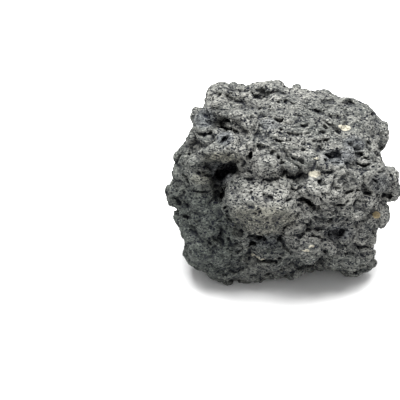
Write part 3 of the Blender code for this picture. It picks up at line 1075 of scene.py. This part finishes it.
    bubbles: tuple[Bubbles, ...] = (
        Bubbles("large_bubbles", 60, (1.3, 2.0), (1, 1, 0.8), "rough"),
        Bubbles("small_bubbles", 1200, (0.65, 1.15), (1.2, 1, 0.8), "rough"),
        Bubbles("nodule_pores", 130, (0.7, 1.1), (1.3, 0.9, 0.8), "nodule"),
    )

    def solid(self) -> tuple[np.ndarray, np.ndarray]:
        """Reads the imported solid, and welds its points to the nearest thousandth of a millimetre.

        Returns:
            Its points in millimetres, and its triangles.
        """
        mesh = bpy.data.objects[NODE].data
        mesh.calc_loop_triangles()
        triangles = np.empty(len(mesh.loop_triangles) * 3, np.int32)
        mesh.loop_triangles.foreach_get("vertices", triangles)
        keys = np.round(points_of(mesh) / MM * 1000).astype(np.int64)
        unique, welded = np.unique(keys, axis=0, return_inverse=True)
        return unique / 1000, welded.reshape(-1)[triangles].reshape(-1, 3)

    def distances(self, points: np.ndarray, triangles: np.ndarray, lattice: Lattice) -> np.ndarray:
        """Works out the signed distance to the solid on a coarse lattice, below zero inside.

        A ray up each column of the lattice marks which of its points lie inside, and the points near the
        surface take their distance to the nearest triangle.

        Args:
            points: The solid's points.
            triangles: Its triangles.
            lattice: The coarse lattice.

        Returns:
            The distances, held to the width of the band.
        """
        tree = BVHTree.FromPolygons(points.tolist(), triangles.tolist())
        x, y, z = (axis.ravel() for axis in lattice.axes())
        inside = np.zeros(lattice.shape, bool)
        up = Vector((0, 0, 1))
        for i, j in np.ndindex(lattice.shape[0], lattice.shape[1]):
            start, heights = Vector((float(x[i]), float(y[j]), float(z[0]) - 1)), []
            while True:
                hit = tree.ray_cast(start, up)[0]
                if hit is None:
                    break
                heights.append(hit.z)
                start = Vector((hit.x, hit.y, hit.z + 1e-4))
            inside[i, j] = np.searchsorted(heights, z) % 2 == 1
        near = np.zeros(lattice.shape, bool)
        for axis in range(3):
            for shift in range(-4, 5):
                near |= np.roll(inside, shift, axis) != inside
        for axis in range(3):
            near |= np.roll(near, 2, axis) | np.roll(near, -2, axis)
        result = np.where(inside, -self.band, self.band).astype(np.float32)
        at = np.argwhere(near)
        places = lattice.low + lattice.step * at
        found = [tree.find_nearest(place, self.band)[3] for place in places.tolist()]
        length = np.array([self.band if far is None else far for far in found], np.float32)
        result[tuple(at.T)] *= length / self.band
        return result

    def build(self) -> bpy.types.Object:
        """Builds the skin and dresses it.

        Returns:
            The skin, riding on the block's body in place of its solid.
        """
        points, triangles = self.solid()
        low, high = points.min(0), points.max(0)
        beyond = (low - self.margin - self.coarse_margin, high + self.margin + self.coarse_margin)
        coarse = Lattice(*beyond, self.coarse_step)
        fine = Lattice(low - self.margin, high + self.margin, self.step)
        smooth = fine.spline(self.distances(points, triangles, coarse), coarse.low, (self.coarse_step,) * 3)
        log.info("signed distances on %s points", fine.shape)
        stone = StoneField(fine, smooth, self.zones, self.seed)
        stone.sink(self.let_down, self.base_height)
        for knob in self.knobs:
            stone.raise_knob(knob)
        for index, relief in enumerate(self.reliefs):
            stone.add_relief(relief, self.seed + 20 + index)
            log.info("added %s", relief.name)
        for index, layer in enumerate(self.crumbs):
            stone.pack_crumbs(layer, self.seed + 40 + 2 * index)
            log.info("packed %s", layer.name)
        for index, hollow in enumerate(self.hollows):
            stone.sink_hollow(hollow, self.seed + 300 + index)
        for index, crevice in enumerate(self.crevices):
            stone.open_crevice(crevice, self.seed + 200 + index)
        log.info("sank the hollows and crevices")
        for index, kind in enumerate(self.bubbles):
            stone.open_bubbles(kind, self.seed + 70 + index)
            log.info("opened %s", kind.name)
        stone.wear_spikes(self.spike_limit)
        stone.keep_in(low, high)
        stone.fuse_diagonals(self.fused_depth)
        skin, faces = largest_piece(*skin_of(fine, stone.values))
        log.info("skin of %d points and %d faces", len(skin), len(faces))
        piece = self.closed_mesh(skin, faces, low, high)
        self.lay_out(piece.data)
        self.paint_places(piece, stone)
        piece.data.materials.append(VesicularBasalt().material())
        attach(piece, BODY)
        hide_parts(NODE)
        return piece

    def closed_mesh(
        self, skin: np.ndarray, faces: np.ndarray, low: np.ndarray, high: np.ndarray
    ) -> bpy.types.Object:
        """Makes the skin a mesh object, thinned, held in the solid's box and shaded smooth.

        The thinning is told to spare the weathered face: it weighs each point by how far back it lies.

        Args:
            skin: The skin's points in millimetres.
            faces: Rows of four indices.
            low: The box's lowest corner.
            high: Its highest corner.

        Returns:
            The object.
        """
        mesh = bpy.data.meshes.new("rough_skin")
        mesh.from_pydata(skin, [], faces)
        mesh.update()
        piece = bpy.data.objects.new("lava_rock_skin", mesh)
        bpy.context.scene.collection.objects.link(piece)
        behind = piece.vertex_groups.new(name="behind")
        back = np.clip((self.spare_from - (skin - MIDDLE) @ OUT) / self.spare_over, 0, 1)
        level = np.rint((self.spare_levels - 1) * back).astype(int)
        for number in range(self.spare_levels):
            weight = self.spare_weight + self.spare_weight * number
            behind.add(np.flatnonzero(level == number).tolist(), weight, "REPLACE")
        thin = piece.modifiers.new("thin", "DECIMATE")
        thin.ratio = min(1.0, self.most_triangles / (2 * len(faces)))
        thin.use_collapse_triangulate = True
        thin.vertex_group = behind.name
        thin.vertex_group_factor = self.spare_face
        thinned = bpy.data.meshes.new_from_object(piece.evaluated_get(bpy.context.evaluated_depsgraph_get()))
        piece.modifiers.clear()
        piece.vertex_groups.clear()
        piece.data = thinned
        bpy.data.meshes.remove(mesh)
        thinned.name = "lava_rock_skin"
        held = np.clip(points_of(thinned), low, high) * MM
        thinned.vertices.foreach_set("co", held.astype(np.float32).ravel())
        thinned.update()
        thinned.shade_smooth()
        log.info("thinned to %d faces", len(thinned.polygons))
        return piece

    def lay_out(self, mesh: bpy.types.Mesh) -> None:
        """Lays the skin out flat in six charts, so that its finish can be baked.

        A face belongs to the side of the block that its middle lies nearest to, and is seen square to that
        side: two of its face coordinates, drawn to one scale and moved into the side's cell of three columns
        and two rows.

        Args:
            mesh: The skin's mesh, all triangles.
        """
        away = points_of(mesh) / MM - MIDDLE
        points = np.stack((away @ ACROSS, away @ UP, away @ OUT), axis=1)
        corners = np.empty(3 * len(mesh.polygons), np.int32)
        mesh.loops.foreach_get("vertex_index", corners)
        middles = points[corners].reshape(-1, 3, 3).mean(axis=1) / np.abs(points).max(0)
        axis = np.abs(middles).argmax(axis=1)
        side = np.repeat(2 * axis + (np.take_along_axis(middles, axis[:, None], 1)[:, 0] > 0), 3)
        flat = np.empty((len(corners), 2))
        for number in range(6):
            one, two = ((2, 1), (2, 0), (1, 0))[number // 2]
            seen = points[corners[side == number]][:, (one, two)]
            cell = np.array((number % 3, number // 3))
            middle = (seen.max(0) + seen.min(0)) / 2
            flat[side == number] = (cell + 0.5) / (3, 2) + (seen - middle) / self.chart_scale
        mesh.uv_layers.new(name="OFBake").data.foreach_set("uv", flat.astype(np.float32).ravel())

    def paint_places(self, piece: bpy.types.Object, stone: StoneField) -> None:
        """Keeps at each point how far it lies in each tint's zone, and how deep it lies in a crease, for the
        painted shade there.

        Args:
            piece: The skin.
            stone: The broken field.
        """
        points = points_of(piece.data) / MM
        away = points - MIDDLE
        face = (away @ ACROSS, away @ UP, away @ OUT)
        places = {name: share_in(parts, face) for name, parts in self.tints.items()}
        # How deep each point lies in a crease of the field, for the painted shade there.
        places["painted_fold_shade"] = stone.lattice.sample(stone.folds(), points)
        for name, values in places.items():
            layer = piece.data.attributes.new(name, "FLOAT", "POINT")
            layer.data.foreach_set("value", values.astype(np.float32))


def add_node(
    tree: bpy.types.NodeTree, kind: str, settings: dict | None = None, links: dict | None = None
) -> bpy.types.Node:
    """Adds a node with its settings and links.

    Args:
        tree: The material's node tree.
        kind: The node's type name.
        settings: Properties by name, and input values by socket name or number.
        links: Output sockets by the input's name or number.

    Returns:
        The node.
    """
    node = tree.nodes.new(kind)
    for name, value in (settings or {}).items():
        if isinstance(name, str) and hasattr(node, name):
            setattr(node, name, value)
        else:
            node.inputs[name].default_value = value
    for name, socket in (links or {}).items():
        tree.links.new(socket, node.inputs[name])
    return node


@dataclass(frozen=True)
class Tint:
    """A colour that comes over the stone as a value goes from low to full.

    The value is a noise of a given width and detail, or without a width what the skin's points know by the
    tint's name.
    """

    name: str
    colour: str
    low: float
    full: float
    amount: float
    width: float = 0.0
    detail: float = 2.0
    blend: Blend = Blend.COVERS


@dataclass(frozen=True)
class Pores:
    """Gas pores cut open by the surface: the width of a cell that holds one, its largest radius and depth.

    A pore is painted black as shade from where its bowl, which is 1 deep in the middle, is as deep as full.
    """

    name: str
    cell: float
    radius: float
    depth: float
    full: float


@dataclass(frozen=True)
class VesicularBasalt:
    """Vesicular basalt, chilled with its gas in it, then broken and weathered.

    The chilling leaves round open pores, the breaking leaves matte grains with paler edges and thin cracks
    between them, and weathering leaves the smooth nodule drab. The black in the pores and cracks, the navy in
    the hollows and the dark in the creases are painted shade; the green-grey darkening of the left side and
    the bottom is partly darker stone and partly painted shade, and the paler worn places are partly paler
    stone and partly painted light.
    """

    roughness: float = 0.92
    specular: float = 0.25
    dim: str = "#5A5C59"
    grey: str = "#80807B"
    grey_width: float = 8.0
    grey_range: tuple[float, float] = (0.36, 0.64)
    # Painted shade: the navy-black that the cracks and pores are painted, for the shade inside them.
    painted_pocket_shade: str = "#10141F"
    flow_tilt: float = -7.0
    flow_scale: tuple[float, float, float] = (0.72, 1.0, 1.15)
    # Real crystal grains are under half a millimetre and don't show: they are drawn about a millimetre wide.
    tints: tuple[Tint, ...] = (
        # Partly paler worn stone, partly painted light over places that lie in shade.
        Tint("worn_zone", "#A2A29C", 0.0, 1.0, 0.6),
        Tint("pale_grains", "#B4B3AC", 0.51, 0.63, 0.65, 1.05, 4.0),
        Tint("dim_grains", "#3A3C3C", 0.47, 0.38, 0.75, 0.75, 3.0),
        # Darkens with painted shade as well as darker stone.
        Tint("dark_zone", "#B2BAB8", 0.0, 1.0, 1.0, blend=Blend.DARKENS),
        Tint("drab_zone", "#DAD6C4", 0.0, 1.0, 0.8, blend=Blend.DARKENS),
        # Painted navy shade in the hollows.
        Tint("navy_zone", "#BEC6DA", 0.0, 1.0, 0.55, blend=Blend.DARKENS),
        # Painted shade: darkens the stone where it lies deep in a crease of the field.
        Tint("painted_fold_shade", "#10141F", 0.1, -0.36, 0.9),
    )
    crystals: tuple[Tint, ...] = (
        Tint("pale_zone", "#C3BEAC", 0.35, 0.6, 0.8),
        Tint("tan_zone", "#A2926E", 0.35, 0.6, 0.75),
    )
    # The finest real pores, 0.1 to 0.3 mm wide, don't show: the dots for them are about three times that.
    pores: tuple[Pores, ...] = (
        Pores("dots", 1.1, 0.44, 0.5, 0.1),
        Pores("pinholes", 1.6, 0.54, 0.8, 0.12),
        Pores("bubbles", 3.4, 0.95, 1.1, 0.25),
    )
    smallest_pore: float = 0.35
    pore_darkness: float = 0.97
    grain: float = 1.3
    grain_height: float = 0.55
    rubble: float = 1.7
    rubble_height: float = 2.4
    # Real hairline cracks are a few hundredths of a millimetre wide and don't show: these are drawn coarser.
    crack_cell: float = 3.2
    crack_width: float = 0.16
    crack_depth: float = 0.6
    crack_gap: float = 3.0
    crack_range: tuple[float, float] = (0.47, 0.58)
    wander: float = 0.9

    def material(self) -> bpy.types.Material:
        """Builds the stone's node material.

        The colour starts as two greys mixed by a broad noise, and takes its tints, cracks and pores one after
        the other. The height in millimetres is a dome over each grain and a noise, less the cracks and pores.

        Returns:
            The material.
        """
        made = bpy.data.materials.new("vesicular_basalt")
        made.use_nodes = True
        tree = made.node_tree
        shader = tree.nodes["Principled BSDF"]
        shader.inputs["Roughness"].default_value = self.roughness
        shader.inputs["Specular IOR Level"].default_value = self.specular
        object_place = add_node(tree, "ShaderNodeTexCoord").outputs["Object"]
        flow = {"Rotation": (0, math.radians(self.flow_tilt), 0), "Scale": self.flow_scale}
        place = add_node(tree, "ShaderNodeMapping", flow, {"Vector": object_place}).outputs[0]
        broad_noise = {"Scale": 1 / (self.grey_width * MM), "Detail": 3.0}
        broad = add_node(tree, "ShaderNodeTexNoise", broad_noise, {"Vector": place})
        first, last = self.grey_range
        share = add_node(tree, "ShaderNodeMapRange", {1: first, 2: last}, {0: broad.outputs[0]})
        greys = {"data_type": "RGBA", 6: linear(self.dim), 7: linear(self.grey)}
        colour = add_node(tree, "ShaderNodeMix", greys, {0: share.outputs[0]}).outputs[2]
        for tint in self.tints:
            colour = self.tinted(tree, place, tint, colour)
        height = self.grain_relief(tree, place)
        cracks = self.cracks(tree, place)
        # The cracks and then the pores are painted navy-black as shade.
        dark = {"data_type": "RGBA", 7: linear(self.painted_pocket_shade)}
        colour = add_node(tree, "ShaderNodeMix", dark, {0: cracks, 6: colour}).outputs[2]
        lower = {"operation": "MULTIPLY_ADD", 1: -self.crack_depth}
        height = add_node(tree, "ShaderNodeMath", lower, {0: cracks, 2: height}).outputs[0]
        for number, pores in enumerate(self.pores):
            bowl = self.pore_bowls(tree, place, pores, 1.0 + 2.0 * number)
            share = add_node(tree, "ShaderNodeMapRange", {2: pores.full, 4: self.pore_darkness}, {0: bowl})
            colour = add_node(tree, "ShaderNodeMix", dark, {0: share.outputs[0], 6: colour}).outputs[2]
            lower = {"operation": "MULTIPLY_ADD", 1: -pores.depth}
            height = add_node(tree, "ShaderNodeMath", lower, {0: bowl, 2: height}).outputs[0]
        for tint in self.crystals:
            colour = self.tinted(tree, place, tint, colour)
        tree.links.new(colour, shader.inputs["Base Color"])
        bump = add_node(tree, "ShaderNodeBump", {"Strength": 1.0, "Distance": MM}, {"Height": height})
        tree.links.new(bump.outputs[0], shader.inputs["Normal"])
        return made

    def tinted(
        self, tree: bpy.types.NodeTree, place: bpy.types.NodeSocket, tint: Tint, colour: bpy.types.NodeSocket
    ) -> bpy.types.NodeSocket:
        """Lays one tint over a colour, by its noise or by what the skin's points know.

        Args:
            tree: The material's node tree.
            place: The places.
            tint: The tint.
            colour: The colour so far.

        Returns:
            The colour with the tint.
        """
        if tint.width:
            settings = {"Scale": 1 / (tint.width * MM), "Detail": tint.detail, "Roughness": 0.6}
            value = add_node(tree, "ShaderNodeTexNoise", settings, {"Vector": place}).outputs["Fac"]
        else:
            value = add_node(tree, "ShaderNodeAttribute", {"attribute_name": tint.name}).outputs["Fac"]
        share = add_node(tree, "ShaderNodeMapRange", {1: tint.low, 2: tint.full, 4: tint.amount}, {0: value})
        over = {"data_type": "RGBA", "blend_type": tint.blend.value, 7: linear(tint.colour)}
        return add_node(tree, "ShaderNodeMix", over, {0: share.outputs[0], 6: colour}).outputs[2]

    def bent_place(
        self, tree: bpy.types.NodeTree, place: bpy.types.NodeSocket, width: float, seed: float
    ) -> bpy.types.NodeSocket:
        """Shifts the places, then moves each by a noise of a given width and of most of its size.

        Args:
            tree: The material's node tree.
            place: The places.
            width: The noise's width.
            seed: How far the places are shifted first.

        Returns:
            The moved places.
        """
        moved = add_node(tree, "ShaderNodeMapping", {"Location": (seed, 0, 0)}, {"Vector": place}).outputs[0]
        settings = {"Scale": 1 / (width * MM), "Detail": 1.0}
        noise = add_node(tree, "ShaderNodeTexNoise", settings, {"Vector": moved})
        size = {"operation": "MULTIPLY_ADD", 1: (self.wander * width * MM,) * 3}
        return add_node(tree, "ShaderNodeVectorMath", size, {0: noise.outputs["Color"], 2: moved}).outputs[0]

    def grain_relief(self, tree: bpy.types.NodeTree, place: bpy.types.NodeSocket) -> bpy.types.NodeSocket:
        """Gives the height of the grains: a noise, less the distance to the middle of the nearest grain.

        Args:
            tree: The material's node tree.
            place: The places.

        Returns:
            The height in millimetres.
        """
        bent = self.bent_place(tree, place, self.grain, 11.0)
        grains = add_node(tree, "ShaderNodeTexVoronoi", {"Scale": 1 / (self.grain * MM)}, {"Vector": bent})
        dome = {"operation": "MULTIPLY", 1: -self.grain_height}
        domes = add_node(tree, "ShaderNodeMath", dome, {0: grains.outputs["Distance"]})
        settings = {"Scale": 1 / (self.rubble * MM), "Detail": 4.0, "Roughness": 0.65}
        noise = add_node(tree, "ShaderNodeTexNoise", settings, {"Vector": place})
        rise = {"operation": "MULTIPLY_ADD", 1: self.rubble_height}
        parts = {0: noise.outputs["Fac"], 2: domes.outputs[0]}
        return add_node(tree, "ShaderNodeMath", rise, parts).outputs[0]

    def cracks(self, tree: bpy.types.NodeTree, place: bpy.types.NodeSocket) -> bpy.types.NodeSocket:
        """Gives the cracks between bent cells, where a noise lets them be.

        Args:
            tree: The material's node tree.
            place: The places.

        Returns:
            The cracks, 1 in their middle and 0 beyond their width.
        """
        bent = self.bent_place(tree, place, self.crack_cell, 5.0)
        settings = {"feature": "DISTANCE_TO_EDGE", "Scale": 1 / (self.crack_cell * MM)}
        cells = add_node(tree, "ShaderNodeTexVoronoi", settings, {"Vector": bent})
        line = {1: self.crack_width / self.crack_cell, 2: 0.3 * self.crack_width / self.crack_cell}
        near = add_node(tree, "ShaderNodeMapRange", line, {0: cells.outputs["Distance"]})
        gaps = {"Scale": 1 / (self.crack_gap * MM), "Detail": 1.0}
        noise = add_node(tree, "ShaderNodeTexNoise", gaps, {"Vector": place})
        first, last = self.crack_range
        there = add_node(tree, "ShaderNodeMapRange", {1: first, 2: last}, {0: noise.outputs["Fac"]})
        both = {0: near.outputs[0], 1: there.outputs[0]}
        return add_node(tree, "ShaderNodeMath", {"operation": "MULTIPLY"}, both).outputs[0]

    def pore_bowls(
        self, tree: bpy.types.NodeTree, place: bpy.types.NodeSocket, pores: Pores, seed: float
    ) -> bpy.types.NodeSocket:
        """Gives round pores, one in each bent cell, each of its own radius up to the largest.

        The value is a bowl's depth: one minus the distance to the pore's middle over its radius.

        Args:
            tree: The material's node tree.
            place: The places.
            pores: Their sizes.
            seed: Shifts the pattern, so that no two kinds of pore lie alike.

        Returns:
            The depth from 0 to 1.
        """
        bent = self.bent_place(tree, place, pores.cell, seed)
        cells = add_node(tree, "ShaderNodeTexVoronoi", {"Scale": 1 / (pores.cell * MM)}, {"Vector": bent})
        own = add_node(tree, "ShaderNodeSeparateColor", {}, {0: cells.outputs["Color"]})
        radius = {3: self.smallest_pore * pores.radius / pores.cell, 4: pores.radius / pores.cell}
        reach = add_node(tree, "ShaderNodeMapRange", radius, {0: own.outputs[0]})
        spread = {0: cells.outputs["Distance"], 1: reach.outputs[0]}
        share = add_node(tree, "ShaderNodeMath", {"operation": "DIVIDE"}, spread)
        bowl = {"operation": "MULTIPLY_ADD", 1: -1.0, 2: 1.0, "use_clamp": True}
        return add_node(tree, "ShaderNodeMath", bowl, {0: share.outputs[0]}).outputs[0]


@dataclass
class Studio:
    """A plain pale floor, soft light from above, and the camera that looks down on the weathered face.

    The camera's sizes are millimetres, but the floor's size and the light's places and size are metres.
    """

    lens: float = 120.0
    sensor: float = 36.0
    frame_width: float = 204.0
    aim: tuple[float, float] = (-41.56, -9.95)
    floor_size: float = 4.0
    floor_colour: str = "#F4F4F4"
    floor_roughness: float = 0.9
    light_place: tuple[float, float, float] = (0.0, 0.12, 0.8)
    light_aim: tuple[float, float, float] = (0.0, 0.0, 0.04)
    light_size: float = 0.7
    light_power: float = 21.9
    sky: float = 0.58

    def build(self) -> None:
        """Builds the floor, the lights and the camera."""
        half = self.floor_size / 2
        corners = np.array([(-half, -half, 0), (half, -half, 0), (half, half, 0), (-half, half, 0)])
        mesh = bpy.data.meshes.new("floor")
        mesh.from_pydata(corners.tolist(), [], [(0, 1, 2, 3)])
        floor = bpy.data.objects.new("floor", mesh)
        paper = bpy.data.materials.new("pale_floor")
        paper.use_nodes = True
        shader = paper.node_tree.nodes["Principled BSDF"]
        shader.inputs["Base Color"].default_value = linear(self.floor_colour)
        shader.inputs["Roughness"].default_value = self.floor_roughness
        mesh.materials.append(paper)
        bpy.context.scene.collection.objects.link(floor)
        self.add_camera()
        self.add_light()
        world = bpy.data.worlds.new("studio")
        world.use_nodes = True
        background = world.node_tree.nodes["Background"]
        background.inputs["Color"].default_value = (1, 1, 1, 1)
        background.inputs["Strength"].default_value = self.sky
        bpy.context.scene.world = world
        bpy.context.scene.view_settings.view_transform = "Standard"

    def add_camera(self) -> None:
        """Adds the camera, square to the weathered face."""
        data = bpy.data.cameras.new("camera")
        data.lens = self.lens
        data.sensor_width = self.sensor
        camera = bpy.data.objects.new("camera", data)
        bpy.context.scene.collection.objects.link(camera)
        distance = self.frame_width / self.sensor * self.lens
        camera.location = Vector(face_point(*self.aim, distance)) * MM
        camera.rotation_mode = "QUATERNION"
        camera.rotation_quaternion = (-Vector(OUT)).to_track_quat("-Z", "Y")
        bpy.context.scene.camera = camera

    def add_light(self) -> None:
        """Adds a square soft light overhead that faces the block."""
        data = bpy.data.lights.new("overhead", "AREA")
        data.size = self.light_size
        data.energy = self.light_power
        light = bpy.data.objects.new("overhead", data)
        light.location = self.light_place
        light.rotation_mode = "QUATERNION"
        ahead = Vector(self.light_aim) - Vector(self.light_place)
        light.rotation_quaternion = ahead.to_track_quat("-Z", "Y")
        bpy.context.scene.collection.objects.link(light)


def main() -> None:
    """Builds the block and its studio."""
    logging.basicConfig(level=logging.INFO, format="%(relativeCreated)d %(message)s")
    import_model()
    block = StoneBlock().build()
    log.info("block: %d faces", len(block.data.polygons))
    Studio().build()
    log.info("studio built")
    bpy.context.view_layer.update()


if __name__ == "__main__":
    main()
